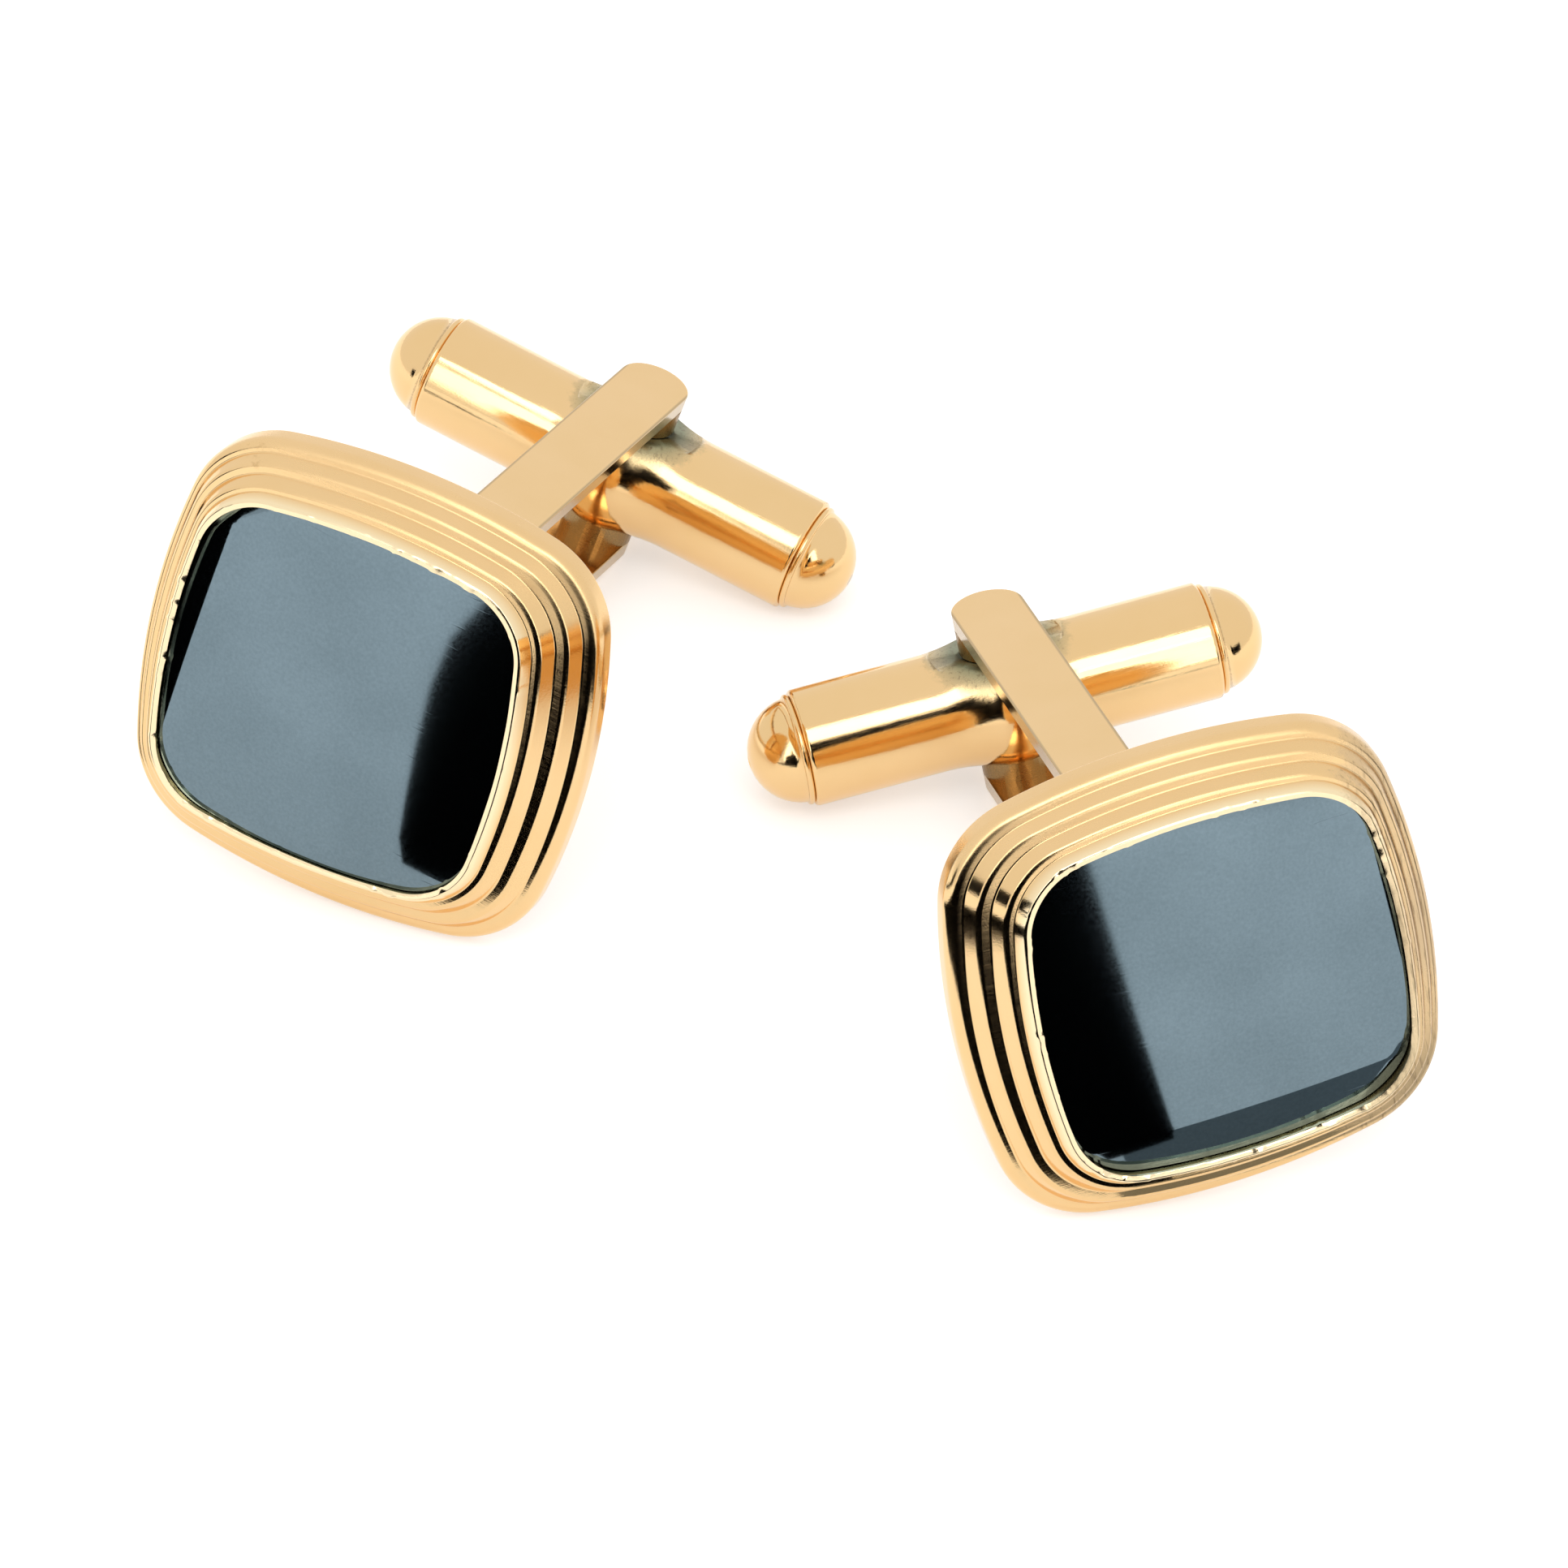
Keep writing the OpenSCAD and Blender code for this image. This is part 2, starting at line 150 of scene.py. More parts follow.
black_card = matt("black card", "#050505")
# Grey for a painted shadow on the table before the right face
painted_shadow_grey = matt("painted shadow grey", "#7f8487")
CARD_Z = 0.0004
# On the table in front of the pair: its sides spread toward the camera, and its far end is cut
# round the two faces
FRONT_LEFT_SIDE = [(-0.1660, -0.2800), (-0.1151, -0.1906), (-0.0588, -0.0827), (-0.0383, -0.0473),
                   (-0.0260, -0.0274), (-0.0212, -0.0199), (-0.0177, -0.0146), (-0.0160, -0.0126)]
FRONT_FAR_END = [(-0.0138, -0.0124), (-0.0128, -0.0160), (-0.0105, -0.0240), (-0.0060, -0.0340),
                 (0.0030, -0.0400), (0.0095, -0.0330), (0.0115, -0.0270), (0.0128, -0.0224),
                 (0.0156, -0.0224)]
FRONT_RIGHT_SIDE = [(0.0168, -0.0250), (0.0246, -0.0441), (0.0426, -0.0880), (0.1215, -0.2800)]
card("front_card", level(FRONT_LEFT_SIDE + FRONT_FAR_END + FRONT_RIGHT_SIDE, CARD_Z), black_card, True)
# Upright behind the camera, the dark end of the room, by (x, z)
ROOM_Y = -0.28
ROOM_CORNERS = [(-0.166, 0), (0.1215, 0), (0.1215, 0.085), (0.09, 0.12),
                (0.09, 0.27), (-0.09, 0.27), (-0.09, 0.12), (-0.166, 0.085)]
card("room_card", [(x, ROOM_Y, z) for x, z in ROOM_CORNERS], black_card, True)
# The dark sides of the room: level past the ends of the table, and upright beyond them
SIDE_X, SIDE_Y, SIDE_TOP = 0.2, -0.06, 0.05
RIGHT_FAR = [(0.036, -0.0245), (SIDE_X, -0.162), (SIDE_X, SIDE_Y), (0.038, -0.020)]
LEFT_FAR = [(-0.027, -0.0075), (-SIDE_X, -0.1156), (-SIDE_X, SIDE_Y), (-0.027, -0.004)]
card("right_far_card", level(RIGHT_FAR, CARD_Z), black_card, True)
card("left_far_card", level(LEFT_FAR, CARD_Z), black_card, True)
for name, x, near_y in (("right_side_card", SIDE_X, -0.162), ("left_side_card", -SIDE_X, -0.14)):
    card(name, [(x, near_y, 0), (x, SIDE_Y, 0), (x, SIDE_Y, SIDE_TOP), (x, near_y, SIDE_TOP)],
         black_card, True)
# A strip of grey under the end of the black card, before the right face: a painted shadow of the table
# close in front of it, which only mirrors see
PAINTED_SHADOW_STRIP = [(0.0140, -0.0243), (0.030, -0.0240), (0.031, -0.0200), (0.0130, -0.0205)]
card("painted_shadow_card", level(PAINTED_SHADOW_STRIP, CARD_Z / 2), painted_shadow_grey, True)

# One wide box high over the camera, and a tall narrow one on either side of the dark end: name,
# azimuth and elevation in degrees, width and height, radiance
BOX_AWAY = 0.5
BOXES = (
    ("front_box", 0, 58, (0.30, 0.19), 2.3),
    ("left_strip_box", -29, 26, (0.10, 0.40), 1.7),
    ("right_strip_box", 27, 26, (0.10, 0.40), 1.7),
)
for name, azimuth, elevation, size, radiance in BOXES:
    across, up = math.radians(azimuth), math.radians(elevation)
    data = bpy.data.lights.new(name, "AREA")
    data.shape = "RECTANGLE"
    data.size, data.size_y = size
    data.energy = radiance * math.pi * size[0] * size[1]
    box = bpy.data.objects.new(name, data)
    bpy.context.scene.collection.objects.link(box)
    box.location = (BOX_AWAY * math.cos(up) * math.sin(across),
                    -BOX_AWAY * math.cos(up) * math.cos(across),
                    BOX_AWAY * math.sin(up))
    box.rotation_mode = "QUATERNION"
    box.rotation_quaternion = (Vector((0, 0, 0)) - box.location).to_track_quat("-Z", "Y")


# Stepped faces
# Each face is a cushion cast in brass, plated with gold and polished. Three steps rise to a thin
# lip, which is closed over the stone. They run off centre, so that they spread on the side of the
# pair's middle. Sizes from here on are millimetres.
MM = 0.001
POST_L = 20.95
PAIR = {
    "left": {"at": (-6.334, 15.878, 3.571), "turn": (-20.7, 11.8, -13), "face_turn": 7, "out": -1},
    "right": {"at": (7.261, 3.978, 3.568), "turn": (16.9, 12.6, 10.8), "face_turn": 1, "out": 1},
}
SIDES = tuple(PAIR)
STONE_W, STONE_BOW, STONE_CORNER = 12.1, 0.75, 2.5
STONE_FIT, LIP_WALL = 0.03, 0.2
UPPER_RUN, MIDDLE_RUN, LOWER_RUN = 0.48, 0.6, 0.6
LOWER_RISE, MIDDLE_RISE, UPPER_RISE, LIP_RISE = 1.1, 0.5, 0.5, 0.4
LOWER_ROUND_W, LOWER_ROUND_H, BACK_ROUND = 0.3, 0.46, 0.14
STEP_SLOPE, STEP_FOOT, STEP_ROUND, STEP_COVE = math.radians(62), 0.16, 0.18, 0.07
LIP_FOOT, LIP_ROUND, LIP_COVE = 0.15, 0.1, 0.04
LIP_EDGE_W, LIP_EDGE_H = 0.05, 0.02
STONE_OFFSET, LEDGE_W, LEDGE_T = 0.5, 0.7, 0.5
PLATE_T, PLATE_RIM = 0.9, 0.8
# How much wider outlines bow out more and have rounder corners
BOW_SHARE, CORNER_SHARE = 0.33, 0.5
SIDE_STEPS, CORNER_STEPS, ROUND_STEPS = 64, 40, 10
# Half widths of the outlines from the stone outwards, and heights above the back of the face
stone_half = STONE_W / 2
seat_half = stone_half + STONE_FIT
window_half = seat_half - LEDGE_W
lip_half = seat_half + LIP_WALL
upper_half = lip_half + UPPER_RUN
middle_half = upper_half + MIDDLE_RUN
lower_half = middle_half + LOWER_RUN
recess_half = lower_half - PLATE_RIM
middle_top = LOWER_RISE + MIDDLE_RISE
upper_top = middle_top + UPPER_RISE
lip_top = upper_top + LIP_RISE
seat_z = PLATE_T + LEDGE_T


def laid(side):
    """Matrix from a cufflink's own millimetres, about its pivot, to the floor's metres."""
    azimuth, tilt, roll = (math.radians(a) for a in PAIR[side]["turn"])
    turn = Matrix.Rotation(azimuth, 4, "Z") @ Matrix.Rotation(-tilt, 4, "X")
    turn = turn @ Matrix.Rotation(-roll, 4, "Y")
    return Matrix.Scale(MM, 4) @ Matrix.Translation(PAIR[side]["at"]) @ turn


def on_post(points, side):
    """Points of a face built flat, its back at height 0, stood on the end of its post."""
    stand = Matrix.Translation((0, -POST_L, 0)) @ Matrix.Rotation(math.pi / 2, 4, "X")
    face_turn = Matrix.Rotation(math.radians(PAIR[side]["face_turn"]), 4, "Z")
    place = np.array(laid(side) @ stand @ face_turn)
    return points @ place[:3, :3].T + place[:3, 3]


def outline(half, inset):
    """Points round a cushion whose bowed sides and round corners are true arcs."""
    bow = STONE_BOW + BOW_SHARE * (half - stone_half)
    corner = STONE_CORNER + CORNER_SHARE * (half - stone_half)
    side_r = (half * half + bow * bow) / (2 * bow)
    side_c = side_r - half
    corner_c = (math.sqrt(2 * (side_r - corner) ** 2 - side_c ** 2) - side_c) / 2
    meet = math.atan2(corner_c + side_c, corner_c)
    a = np.linspace(meet, math.pi - meet, SIDE_STEPS, endpoint=False)
    b = np.linspace(math.pi - meet, meet + math.pi / 2, CORNER_STEPS, endpoint=False)
    quarter = np.concatenate([
        np.stack([(side_r - inset) * np.cos(a), (side_r - inset) * np.sin(a) - side_c], 1),
        np.stack([(corner - inset) * np.cos(b) - corner_c, (corner - inset) * np.sin(b) + corner_c], 1)])
    turned = [quarter]
    for _ in range(3):
        turned.append(turned[-1] @ np.array([[0, 1], [-1, 0]]))
    return np.concatenate(turned)


def off_centre(half):
    """How far an outline's middle lies off the face's own."""
    return STONE_OFFSET * (lower_half - max(half, lip_half)) / (lower_half - lip_half)


def step(wall, low, high, foot, cove, round_r):
    """A step's cove, slope and rounded shoulder, as (wall, how far inside it, height)."""
    run, half = (high - low) / math.tan(STEP_SLOPE), math.tan(STEP_SLOPE / 2)
    turn = np.linspace(0, STEP_SLOPE, ROUND_STEPS + 1)
    rising = [(wall, cove * (math.sin(a) - half) - foot, low + cove * (1 - math.cos(a))) for a in turn]
    rounding = [(wall, run - foot + round_r * (half - math.sin(a)), high - round_r * (1 - math.cos(a)))
                for a in turn[::-1]]
    return rising + rounding


def face_rows(out):
    """Rows of points from the back's edge, up over the steps to the lip and down to the seat."""
    halves = (lower_half, middle_half, upper_half, lip_half)
    walls = [outline(half, 0) + [out * off_centre(half), 0] for half in halves]
    lip = len(walls) - 1
    quarter = np.linspace(0, math.pi / 2, ROUND_STEPS + 1)
    plans = [(outline(lower_half, BACK_ROUND * (1 - math.sin(a))), BACK_ROUND * (1 - math.cos(a)))
             for a in quarter]
    rings = [(0, LOWER_ROUND_W * (1 - math.cos(a)), LOWER_RISE - LOWER_ROUND_H * (1 - math.sin(a)))
             for a in quarter]
    rings += step(1, LOWER_RISE, middle_top, STEP_FOOT, STEP_COVE, STEP_ROUND)
    rings += step(2, middle_top, upper_top, STEP_FOOT, STEP_COVE, STEP_ROUND)
    rings += step(lip, upper_top, lip_top, LIP_FOOT, LIP_COVE, LIP_ROUND)
    for wall, inset, z in rings:
        if wall == lip and inset >= 0:
            plan = outline(lip_half, inset) + [out * STONE_OFFSET, 0]
        else:
            # A width is a share of the way to the next wall, so that it spreads on the wide side
            beside = wall + 1 if inset >= 0 else wall - 1
            share = abs(inset / (halves[wall] - halves[beside]))
            plan = walls[wall] + (walls[beside] - walls[wall]) * share
        plans.append((plan, z))
    for half, inset, z in (
            (seat_half, LIP_EDGE_W, lip_top - LIP_EDGE_H), (seat_half, 0, lip_top - LIP_ROUND),
            (seat_half, 0, seat_z), (window_half, 0, seat_z), (window_half, 0, PLATE_T)):
        plans.append((outline(half, inset) + [out * STONE_OFFSET, 0], z))
    plans += [(outline(recess_half, 0), PLATE_T), (outline(recess_half, 0), 0)]
    return [np.c_[plan, np.full(len(plan), z)] for plan, z in plans]


def ring_faces(rows, n, closed):
    """Quads between rows of n points, the last row joined to the first if closed."""
    quads = []
    for j in range(rows if closed else rows - 1):
        low, high = j * n, (j + 1) % rows * n
        for i in range(n):
            after = (i + 1) % n
            quads.append((high + i, high + after, low + after, low + i))
    return quads


# Edges that turn by more than this stay crisp
CRISP = math.radians(30)


def new_piece(name, points, faces, material):
    """A smooth-shaded piece at the origin."""
    mesh = bpy.data.meshes.new(name)
    mesh.from_pydata([tuple(p) for p in points], [], faces)
    mesh.shade_smooth()
    mesh.set_sharp_from_angle(angle=CRISP)
    mesh.materials.append(material)
    made = bpy.data.objects.new(name, mesh)
    bpy.context.scene.collection.objects.link(made)
    return made


def own_place(tree, side):
    """Texture coordinates in millimetres along a cufflink's own axes, read from the object's."""
    place = add(tree, "ShaderNodeTexCoord")
    back = laid(side).inverted()
    turn = back.to_3x3().normalized().to_euler()
    return add(tree, "ShaderNodeMapping",
               {"Location": back.translation, "Rotation": turn, "Scale": (1 / MM,) * 3},
               {"Vector": (place, "Object")})


# Gold plate on polished brass gives the eye a clear warm mirror. Its patterns, in repeats per
# millimetre, are slow clouds of tone, the grain of the plating, wiping marks, drawn 0.04 mm wide
# so that they show, scuffs along the sides of a face, and the crust of worn places.
CLOUDS, PEEL, WIPES, SCUFFS, CRUST = 0.33, 16.0, (1.2, 25.0, 25.0), (9.0, 9.0, 0.8), 2.6
WIPED_TOWARD = (0.3, 0.5, 0.9)
# Colours of the lip's painted highlight, of the painted shade along sheared edges, and of deep scuffs
LIP_HIGHLIGHT_COLOUR, EDGE_SHADE_COLOUR, DEEP_COLOUR = "#ffe9be", "#bda57e", "#6e5a42"
# Up a cufflink's own axis, from where to where the uppermost sides turn to a satin
SATIN_FROM, SATIN_TO = 5.4, 6.8
# Between which values of its noise a pattern comes in
WIPES_IN, CRUST_IN, DEEP_IN = (0.3, 0.75), (0.42, 0.6), (0.54, 0.7)
# How far the painted edge shade and deep scuffs take their colour
EDGE_SHADE_COVER, DEEP_COVER = 0.85, 0.8
# The height of the relief, and how much of it the grain and the pits have
RELIEF, PEEL_SHARE, PIT_SHARE = 0.01, 0.5, 4.0


def plated(name, side, spots=(), grain=0.12, rough=(0.07, 0.14), tint=("#f6d29e", "#efc98e"),
           satin=0.0, shaded_edge=None):
    """Gold plate, worn at spots of (centre, worn within, whole beyond, colour, roughness, cover)."""
    made = bpy.data.materials.new(name)
    tree, out = fresh(made)
    at = own_place(tree, side)
    clouds = add(tree, "ShaderNodeTexNoise", {"Scale": CLOUDS, "Detail": 3.0}, {"Vector": (at, 0)})
    tone = add(tree, "ShaderNodeMix", {"A": linear(tint[0]), "B": linear(tint[1])},
               {"Factor": (clouds, "Fac")}, data_type="RGBA")
    peel = add(tree, "ShaderNodeTexNoise", {"Scale": PEEL, "Detail": 2.0}, {"Vector": (at, 0)})
    drag = add(tree, "ShaderNodeMapping", {"Rotation": WIPED_TOWARD, "Scale": WIPES}, {"Vector": (at, 0)})
    wipes = add(tree, "ShaderNodeTexNoise", {"Scale": 1.0, "Detail": 2.0}, {"Vector": (drag, 0)})
    wiped = add(tree, "ShaderNodeMapRange",
                {"From Min": WIPES_IN[0], "From Max": WIPES_IN[1], "To Min": rough[0], "To Max": rough[1]},
                {"Value": (wipes, "Fac")})
    height = add(tree, "ShaderNodeMath", {1: PEEL_SHARE}, {0: (peel, "Fac"), 2: (wipes, "Fac")},
                 operation="MULTIPLY_ADD")
    # The side of a face that lies uppermost is buffed to a satin
    axes = add(tree, "ShaderNodeSeparateXYZ", links={"Vector": (at, 0)})
    upper = add(tree, "ShaderNodeMapRange",
                {"From Min": SATIN_FROM, "From Max": SATIN_TO, "To Max": satin}, {"Value": (axes, "Z")})
    sheen = add(tree, "ShaderNodeMath", links={0: (wiped, 0), 1: (upper, 0)}, operation="ADD")
    # The lip is painted paler, a painted highlight along it
    on_lip = add(tree, "ShaderNodeAttribute", attribute_name="lip")
    lip_highlight = add(tree, "ShaderNodeMix", {"B": linear(LIP_HIGHLIGHT_COLOUR)},
                 {"Factor": (on_lip, "Fac"), "A": (tone, "Result")}, data_type="RGBA")
    along = add(tree, "ShaderNodeMapping", {"Scale": SCUFFS}, {"Vector": (at, 0)})
    scuffs = add(tree, "ShaderNodeTexNoise", {"Scale": 1.0, "Detail": 4.0, "Roughness": 0.6},
                 {"Vector": (along, 0)})
    colour, gloss, relief = (lip_highlight, "Result"), (sheen, 0), (height, 0)
    if shaded_edge:
        # Painted shade along the sheared edges: it comes in so far from the middle and is whole beyond
        beside = add(tree, "ShaderNodeMath", links={0: (axes, "X")}, operation="ABSOLUTE")
        rim = add(tree, "ShaderNodeMapRange",
                  {"From Min": shaded_edge[0], "From Max": shaded_edge[1], "To Max": EDGE_SHADE_COVER},
                  {"Value": (beside, 0)})
        edge_shade = add(tree, "ShaderNodeMix", {"B": linear(EDGE_SHADE_COLOUR)}, {"Factor": (rim, 0), "A": colour},
                   data_type="RGBA")
        colour = (edge_shade, "Result")
    for centre, inner, outer, stain, dull, cover in spots:
        # The spot fades out, and its edge is broken up by the crust
        reach = add(tree, "ShaderNodeVectorMath", {1: centre}, {0: (at, 0)}, operation="DISTANCE")
        near = add(tree, "ShaderNodeMapRange", {"From Min": outer, "From Max": inner},
                   {"Value": (reach, "Value")})
        crust = add(tree, "ShaderNodeTexNoise", {"Scale": CRUST, "Detail": 6.0, "Roughness": 0.65},
                    {"Vector": (at, 0)})
        edge = add(tree, "ShaderNodeMath", {1: cover - 1.0}, {0: (near, 0)}, operation="ADD")
        patch = add(tree, "ShaderNodeMath", links={0: (crust, "Fac"), 1: (edge, 0)}, operation="ADD")
        mask = add(tree, "ShaderNodeMapRange", {"From Min": CRUST_IN[0], "From Max": CRUST_IN[1]},
                   {"Value": (patch, 0)})
        inside = add(tree, "ShaderNodeMath", links={0: (mask, 0), 1: (near, 0)}, operation="MULTIPLY",
                     use_clamp=True)
        stained = add(tree, "ShaderNodeMix", {"B": linear(stain)}, {"Factor": (inside, 0), "A": colour},
                      data_type="RGBA")
        duller = add(tree, "ShaderNodeMix", {"B": dull}, {"Factor": (inside, 0), "A": gloss})
        # The deepest scuffs in it are dark and pitted
        deep = add(tree, "ShaderNodeMapRange",
                   {"From Min": DEEP_IN[0], "From Max": DEEP_IN[1], "To Max": DEEP_COVER},
                   {"Value": (scuffs, "Fac")})
        dark = add(tree, "ShaderNodeMath", links={0: (deep, 0), 1: (inside, 0)}, operation="MULTIPLY")
        marked = add(tree, "ShaderNodeMix", {"B": linear(DEEP_COLOUR)},
                     {"Factor": (dark, 0), "A": (stained, "Result")}, data_type="RGBA")
        pits = add(tree, "ShaderNodeMath", links={0: (scuffs, "Fac"), 1: (inside, 0)},
                   operation="MULTIPLY")
        pitted = add(tree, "ShaderNodeMath", {1: PIT_SHARE}, {0: (pits, 0), 2: relief},
                     operation="MULTIPLY_ADD")
        colour, gloss, relief = (marked, "Result"), (duller, 0), (pitted, 0)
    bump = add(tree, "ShaderNodeBump", {"Strength": grain, "Distance": RELIEF * MM}, {"Height": relief})
    metal = add(tree, "ShaderNodeBsdfPrincipled", {"Metallic": 1.0},
                {"Base Color": colour, "Roughness": gloss, "Normal": (bump, 0)})
    tree.links.new(metal.outputs[0], out.inputs[0])
    return made


# The lip was rubbed down over the stone with a burnisher, which left it uneven and nicked. Each
# point sinks along its normal, by long ripples and short nicks, as far as it is on the lip.
NICK_DEPTH, NICK_SPACING, RIPPLE_DEPTH = 0.035, 0.4, 0.04
# Between which values of its noise a nick comes in, and how close nicks lie against ripples
NICKS_IN, NICKS_TO_RIPPLES = (0.6, 0.72), 0.22
# Above the upper step, where the lip's nicks and its painted highlight start, and over what height they
# become full
NICKED_AND_HIGHLIT_FROM, NICKED_AND_HIGHLIT_RISE = 0.04, 0.2
LIP_SEED = 3.0
burnished = bpy.data.node_groups.new("burnished lip", "GeometryNodeTree")
for name, kind in (("Geometry", "Geometry"), ("Nick depth", "Float"), ("Nick spacing", "Float"),
                   ("Ripple depth", "Float"), ("Seed", "Float"), ("Finish", "Material")):
    burnished.interface.new_socket(name=name, in_out="INPUT", socket_type=f"NodeSocket{kind}")
burnished.interface.new_socket(name="Geometry", in_out="OUTPUT", socket_type="NodeSocketGeometry")
given = add(burnished, "NodeGroupInput")
on_lip = add(burnished, "GeometryNodeInputNamedAttribute", {"Name": "lip"}, data_type="FLOAT")
place = add(burnished, "GeometryNodeInputPosition")
outward = add(burnished, "GeometryNodeInputNormal")
per_metre = add(burnished, "ShaderNodeMath", {0: 1.0}, {1: (given, "Nick spacing")}, operation="DIVIDE")
nick_noise = add(burnished, "ShaderNodeTexNoise", {"Detail": 1.0},
                 {"Vector": (place, 0), "W": (given, "Seed"), "Scale": (per_metre, 0)},
                 noise_dimensions="4D")
nicked = add(burnished, "ShaderNodeMapRange", {"From Min": NICKS_IN[0], "From Max": NICKS_IN[1]},
             {"Value": (nick_noise, 0)})
ripples = add(burnished, "ShaderNodeMath", {1: NICKS_TO_RIPPLES}, {0: (per_metre, 0)},
              operation="MULTIPLY")
ripple = add(burnished, "ShaderNodeTexNoise", {"Detail": 0.0},
             {"Vector": (place, 0), "W": (given, "Seed"), "Scale": (ripples, 0)},
             noise_dimensions="4D")
cut = add(burnished, "ShaderNodeMath", links={0: (nicked, 0), 1: (given, "Nick depth")},
          operation="MULTIPLY")
sunk = add(burnished, "ShaderNodeMath", links={0: (ripple, 0), 1: (given, "Ripple depth"), 2: (cut, 0)},
           operation="MULTIPLY_ADD")
there = add(burnished, "ShaderNodeMath", links={0: (sunk, 0), 1: (on_lip, 0)}, operation="MULTIPLY")
inward = add(burnished, "ShaderNodeMath", {1: -1.0}, {0: (there, 0)}, operation="MULTIPLY")
moved = add(burnished, "ShaderNodeVectorMath", links={0: (outward, 0), "Scale": (inward, 0)},
            operation="SCALE")
pressed = add(burnished, "GeometryNodeSetPosition",
              links={"Geometry": (given, "Geometry"), "Offset": (moved, 0)})
solid = add(burnished, "GeometryNodeRealizeInstances", links={"Geometry": (pressed, 0)})
finished = add(burnished, "GeometryNodeSetMaterial",
               links={"Geometry": (solid, 0), "Material": (given, "Finish")})
add(burnished, "NodeGroupOutput", links={"Geometry": (finished, 0)})


def grown(made, group, values):
    """Run a node group on a piece, its inputs given by name, and keep the result as a plain mesh."""
    run = made.modifiers.new(group.name, "NODES")
    run.node_group = group
    for socket in group.interface.items_tree:
        if socket.in_out == "INPUT" and socket.name in values:
            run[socket.identifier] = values[socket.name]
    evaluated = made.evaluated_get(bpy.context.evaluated_depsgraph_get())
    result = bpy.data.meshes.new_from_object(evaluated)
    made.modifiers.remove(run)
    made.data = result


def lip_share(z):
    """How far up the lip a height lies, from 0 at its foot to 1 near its edge."""
    return min(max((z - upper_top - NICKED_AND_HIGHLIT_FROM) / NICKED_AND_HIGHLIT_RISE, 0.0), 1.0)


# Where the faces are worn by handling, in a cufflink's own axes, at these heights above the back
WORN_UPPER, WORN_LOWER = 2, 1.2
FACE_SPOTS = {
    "left": [((-6.6, -POST_L - WORN_UPPER, 6.6), 0.3, 1.6, "#b98f5c", 0.3, 0.45)],
    "right": [((7.2, -POST_L - WORN_LOWER, -6.4), 1.2, 4.4, "#c2a983", 0.35, 0.85),
              ((8.6, -POST_L - WORN_LOWER, -0.5), 1.5, 5.4, "#d6ba92", 0.3, 0.75),
              ((8.2, -POST_L - WORN_LOWER, 5.0), 0.8, 4.0, "#d6ba92", 0.3, 0.65)],
}
FACE_SATIN = 0.2
for side in SIDES:
    rows = face_rows(PAIR[side]["out"])
    n = len(rows[0])
    gold = plated(f"polished gold plate, {side} face", side, FACE_SPOTS[side], satin=FACE_SATIN)
    casting = new_piece(f"{side}_face", on_post(np.concatenate(rows), side),
                        ring_faces(len(rows), n, True), gold)
    lip = casting.data.attributes.new("lip", "FLOAT", "POINT")
    lip.data.foreach_set("value", np.repeat([lip_share(row[0, 2]) for row in rows], n))
    grown(casting, burnished, {
        "Nick depth": NICK_DEPTH * MM, "Nick spacing": NICK_SPACING * MM,
        "Ripple depth": RIPPLE_DEPTH * MM, "Seed": LIP_SEED + PAIR[side]["out"], "Finish": gold})
    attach(casting, "frames")
    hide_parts(f"{side}_bezel")


# Stones
# A slab of black hematite, flat behind and ground to a low dome in front. It is polished to a
# steel-blue mirror with a few hair scratches, and is black wherever it mirrors nothing bright.
DOME_R, STONE_T, DOME_RINGS = 55, 1.3, 60
GIRDLE = 0.06
# Each stone's edge is ground off by hand to narrow facets: the direction round the stone in
# degrees, how far from the middle the facet starts, and how much it falls for each millimetre
FACETS = {
    "left": [(174, 5.26, 0.13), (129, 6.76, 0.12), (270, 5.9, 0.1)],
    "right": [(-90, 4.45, 0.13), (2, 5.78, 0.13), (-42, 6.6, 0.12)],
}
# Clouds, specks and the grain of the polish in repeats per millimetre, and the hair scratches,
# which run along one line
STONE_CLOUDS, SPECKS, POLISH, HAIRS = 0.25, 9.0, 11.0, (0.12, 6.0, 6.0)
SCRATCHED_TOWARD = {"left": (0.2, 0.4, 0.3), "right": (0.2, 0.4, 1.1)}
STONE_TINT, STONE_ROUGH = ("#6d7e86", "#7a8c95"), (0.03, 0.1)
# Between which values of its noise a pattern comes in
SHADE_IN, HAIRS_IN = (0.6, 1.3), (0.72, 0.76)
# How strong specks are against clouds, and how high the grain stands against the hairs
SPECK_SHARE, POLISH_SHARE, STONE_RELIEF = 0.9, 0.05, 0.05


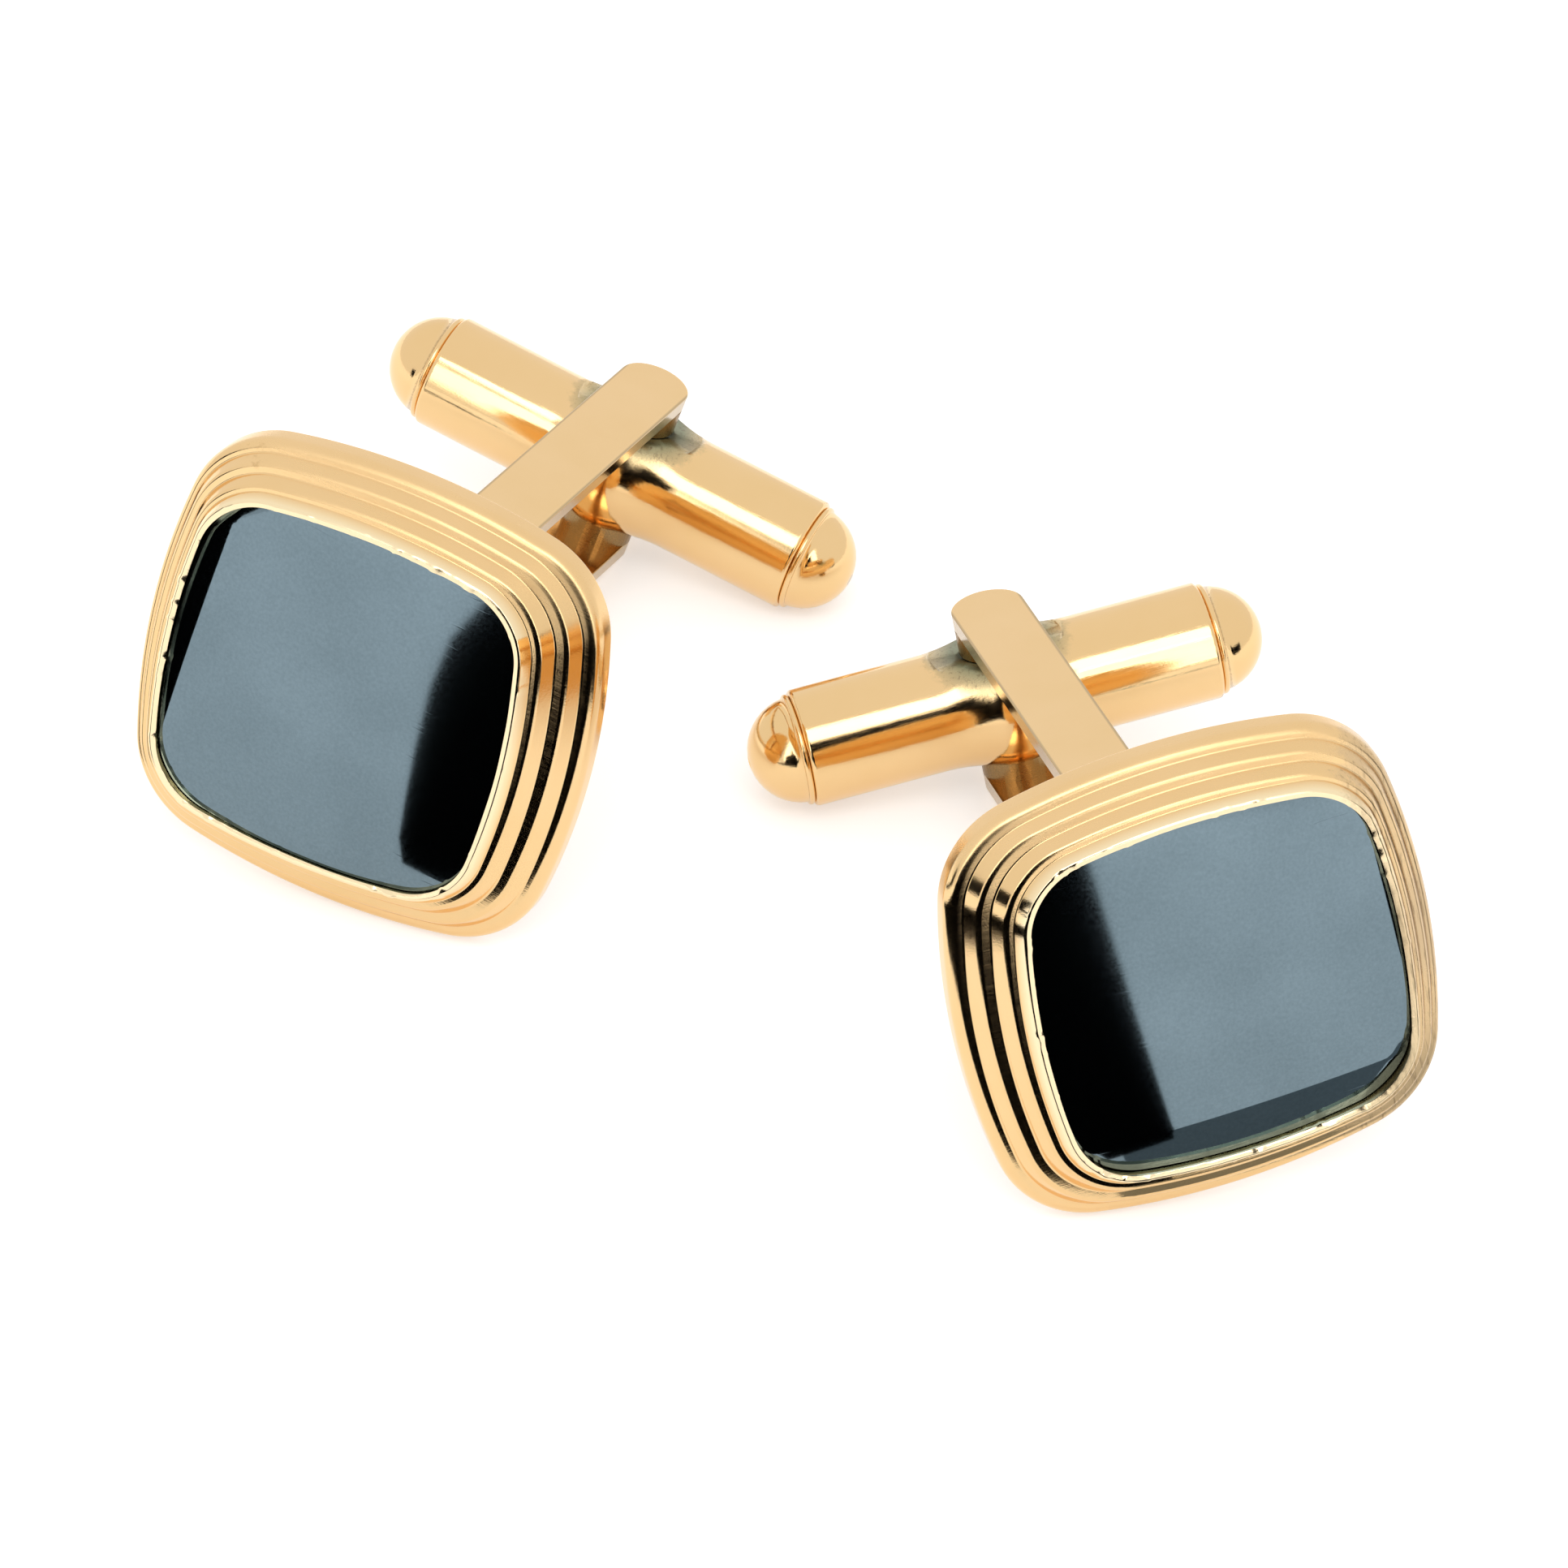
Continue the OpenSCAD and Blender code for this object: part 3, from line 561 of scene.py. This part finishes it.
def hematite(name, side):
    """Polished hematite: an opaque blue-grey mirror that gives back about a quarter of the light."""
    made = bpy.data.materials.new(name)
    tree, out = fresh(made)
    at = own_place(tree, side)
    clouds = add(tree, "ShaderNodeTexNoise", {"Scale": STONE_CLOUDS, "Detail": 2.0}, {"Vector": (at, 0)})
    specks = add(tree, "ShaderNodeTexNoise", {"Scale": SPECKS, "Detail": 2.0}, {"Vector": (at, 0)})
    blend = add(tree, "ShaderNodeMath", {1: SPECK_SHARE}, {0: (specks, "Fac"), 2: (clouds, "Fac")},
                operation="MULTIPLY_ADD")
    shade = add(tree, "ShaderNodeMapRange", {"From Min": SHADE_IN[0], "From Max": SHADE_IN[1]},
                {"Value": (blend, 0)})
    tone = add(tree, "ShaderNodeMix", {"A": linear(STONE_TINT[0]), "B": linear(STONE_TINT[1])},
               {"Factor": (shade, 0)}, data_type="RGBA")
    grain = add(tree, "ShaderNodeTexNoise", {"Scale": POLISH, "Detail": 3.0}, {"Vector": (at, 0)})
    sheen = add(tree, "ShaderNodeMapRange", {"To Min": STONE_ROUGH[0], "To Max": STONE_ROUGH[1]},
                {"Value": (grain, "Fac")})
    drag = add(tree, "ShaderNodeMapping", {"Rotation": SCRATCHED_TOWARD[side], "Scale": HAIRS},
               {"Vector": (at, 0)})
    hairs = add(tree, "ShaderNodeTexNoise", {"Scale": 1.0, "Detail": 0.0}, {"Vector": (drag, 0)})
    line = add(tree, "ShaderNodeMapRange", {"From Min": HAIRS_IN[0], "From Max": HAIRS_IN[1]},
               {"Value": (hairs, "Fac")})
    height = add(tree, "ShaderNodeMath", {1: POLISH_SHARE}, {0: (grain, "Fac"), 2: (line, 0)},
                 operation="MULTIPLY_ADD")
    bump = add(tree, "ShaderNodeBump", {"Strength": STONE_RELIEF, "Distance": RELIEF * MM},
               {"Height": (height, 0)})
    mirror = add(tree, "ShaderNodeBsdfPrincipled", {"Metallic": 1.0},
                 {"Base Color": (tone, "Result"), "Roughness": (sheen, 0), "Normal": (bump, 0)})
    tree.links.new(mirror.outputs[0], out.inputs[0])
    return made


def crown(flat, side):
    """Points of a stone's dome above a flat outline, lowered where a facet is ground off."""
    height = seat_z + STONE_T - DOME_R + np.sqrt(DOME_R ** 2 - (flat ** 2).sum(1))
    for direction, start, steep in FACETS[side]:
        toward = math.radians(direction)
        along = flat[:, 0] * math.cos(toward) + flat[:, 1] * math.sin(toward)
        height -= steep * np.maximum(along - start, 0)
    return np.c_[flat, height]


for side in SIDES:
    rim = outline(stone_half, 0)
    n = len(rim)
    rows = [np.c_[rim, np.full(n, seat_z)], crown(rim, side) - [0, 0, GIRDLE]]
    rows += [crown(rim * share, side)
             for share in np.linspace(1 - GIRDLE / stone_half, 1 / DOME_RINGS, DOME_RINGS)]
    points = np.concatenate(rows + [np.array([[0, 0, seat_z + STONE_T]])])
    points += [PAIR[side]["out"] * STONE_OFFSET, 0, 0]
    last, tip = (len(rows) - 1) * n, len(points) - 1
    faces = ring_faces(len(rows), n, False) + [tuple(range(n))]
    faces += [(last + (i + 1) % n, last + i, tip) for i in range(n)]
    stone = new_piece(f"{side}_stone", on_post(points, side), faces,
                      hematite(f"polished hematite, {side}", side))
    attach(stone, "frames")
    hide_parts(f"{side}_onyx")


# Back plates
# A flat brass plate closes the back of each face and carries the post. It is plated like the face
# but left a satin, and its edge is barely broken.
PLATE_EDGE = 0.04
# Points closer than this are one, and faces that turn by less than this are flat
WELD, FLAT_WITHIN = 0.0005, math.radians(0.4)
# Edges that turn by more than this are broken, in so many steps
BROKEN_FROM, BROKEN_STEPS = math.radians(35), 3


def softened(name, node, body, material, edge=0):
    """A copy of a CAD piece, in its place, with its edges broken by a small round."""
    copy = bmesh.new()
    copy.from_mesh(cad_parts[node].data)
    bmesh.ops.remove_doubles(copy, verts=copy.verts, dist=WELD * MM)
    if edge:
        bmesh.ops.dissolve_limit(copy, angle_limit=FLAT_WITHIN, verts=copy.verts, edges=copy.edges)
    mesh = bpy.data.meshes.new(name)
    copy.to_mesh(mesh)
    copy.free()
    mesh.shade_smooth()
    mesh.set_sharp_from_angle(angle=CRISP)
    mesh.materials.append(material)
    made = bpy.data.objects.new(name, mesh)
    bpy.context.scene.collection.objects.link(made)
    if edge:
        bevel = made.modifiers.new("broken edges", "BEVEL")
        bevel.width, bevel.segments, bevel.limit_method = edge * MM, BROKEN_STEPS, "ANGLE"
        bevel.angle_limit, bevel.harden_normals = BROKEN_FROM, True
    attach(made, body)
    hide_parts(node)


for side in SIDES:
    backing = plated(f"satin gold plate, {side} back", side, rough=(0.18, 0.28), grain=0.25,
                     tint=("#f0c17c", "#e7b56c"))
    softened(f"{side}_back", f"{side}_back_plate", "frames", backing, PLATE_EDGE)


# Posts
# Each post is one brass strip bent to a U with rounded ends, and fixed by its web on the back
# plate. It is plated, and its sheared edges carry a painted shade.
STRIP_W, POST_EDGE = 2.48, 0.15
EDGE_SHADE_BORDER, EDGE_SHADE_FADE = 0.11, 0.06
edge_shade_from = STRIP_W / 2 - EDGE_SHADE_BORDER
for side in SIDES:
    strip = plated(f"gold plate, {side} post", side, rough=(0.12, 0.2), grain=0.2,
                   shaded_edge=(edge_shade_from, edge_shade_from + EDGE_SHADE_FADE))
    softened(f"{side}_post", f"{side}_post_fork", "frames", strip, POST_EDGE)


# Washers, pins and cams
# A washer lies between each arm and the toggle, on the pin that is pressed into both arms. The
# square cam on the pin lies inside the toggle. All are bare brass, dulled by the years.
def finish_as(node, material):
    """Give a material to a CAD piece that stays as it is."""
    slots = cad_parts[node].data.materials
    slots.clear()
    slots.append(material)


dull_brass = {}
for side in SIDES:
    dull_brass[side] = plated(f"dull brass, {side} washers", side, rough=(0.25, 0.35),
                              tint=("#a9885a", "#8c7350"))
    for node in ("upper_washer", "lower_washer"):
        softened(f"{side}_{node}_piece", f"{side}_{node}", "frames", dull_brass[side])
    for node in ("axle_pin", "cam"):
        finish_as(f"{side}_{node}", dull_brass[side])


# Toggles
# Each is a turned barrel with two flats, which swivels on the pin, and a half-round cap pressed
# into either end. It is plated like the faces, but green where damp sat at the hub. The leaf
# spring inside it bears on the cam and keeps it open or closed.
HUB_TARNISH = ((0, 0, 2.2), 1.6, 2.8, "#8f9274", 0.35, 0.8)
for side in SIDES:
    turned = plated(f"gold plate, {side} toggle", side, [HUB_TARNISH])
    for node in ("barrel", "inner_cap", "outer_cap"):
        softened(f"{side}_toggle_{node}", f"{side}_{node}", f"{side}_toggle", turned)
    finish_as(f"{side}_leaf_spring", dull_brass[side])
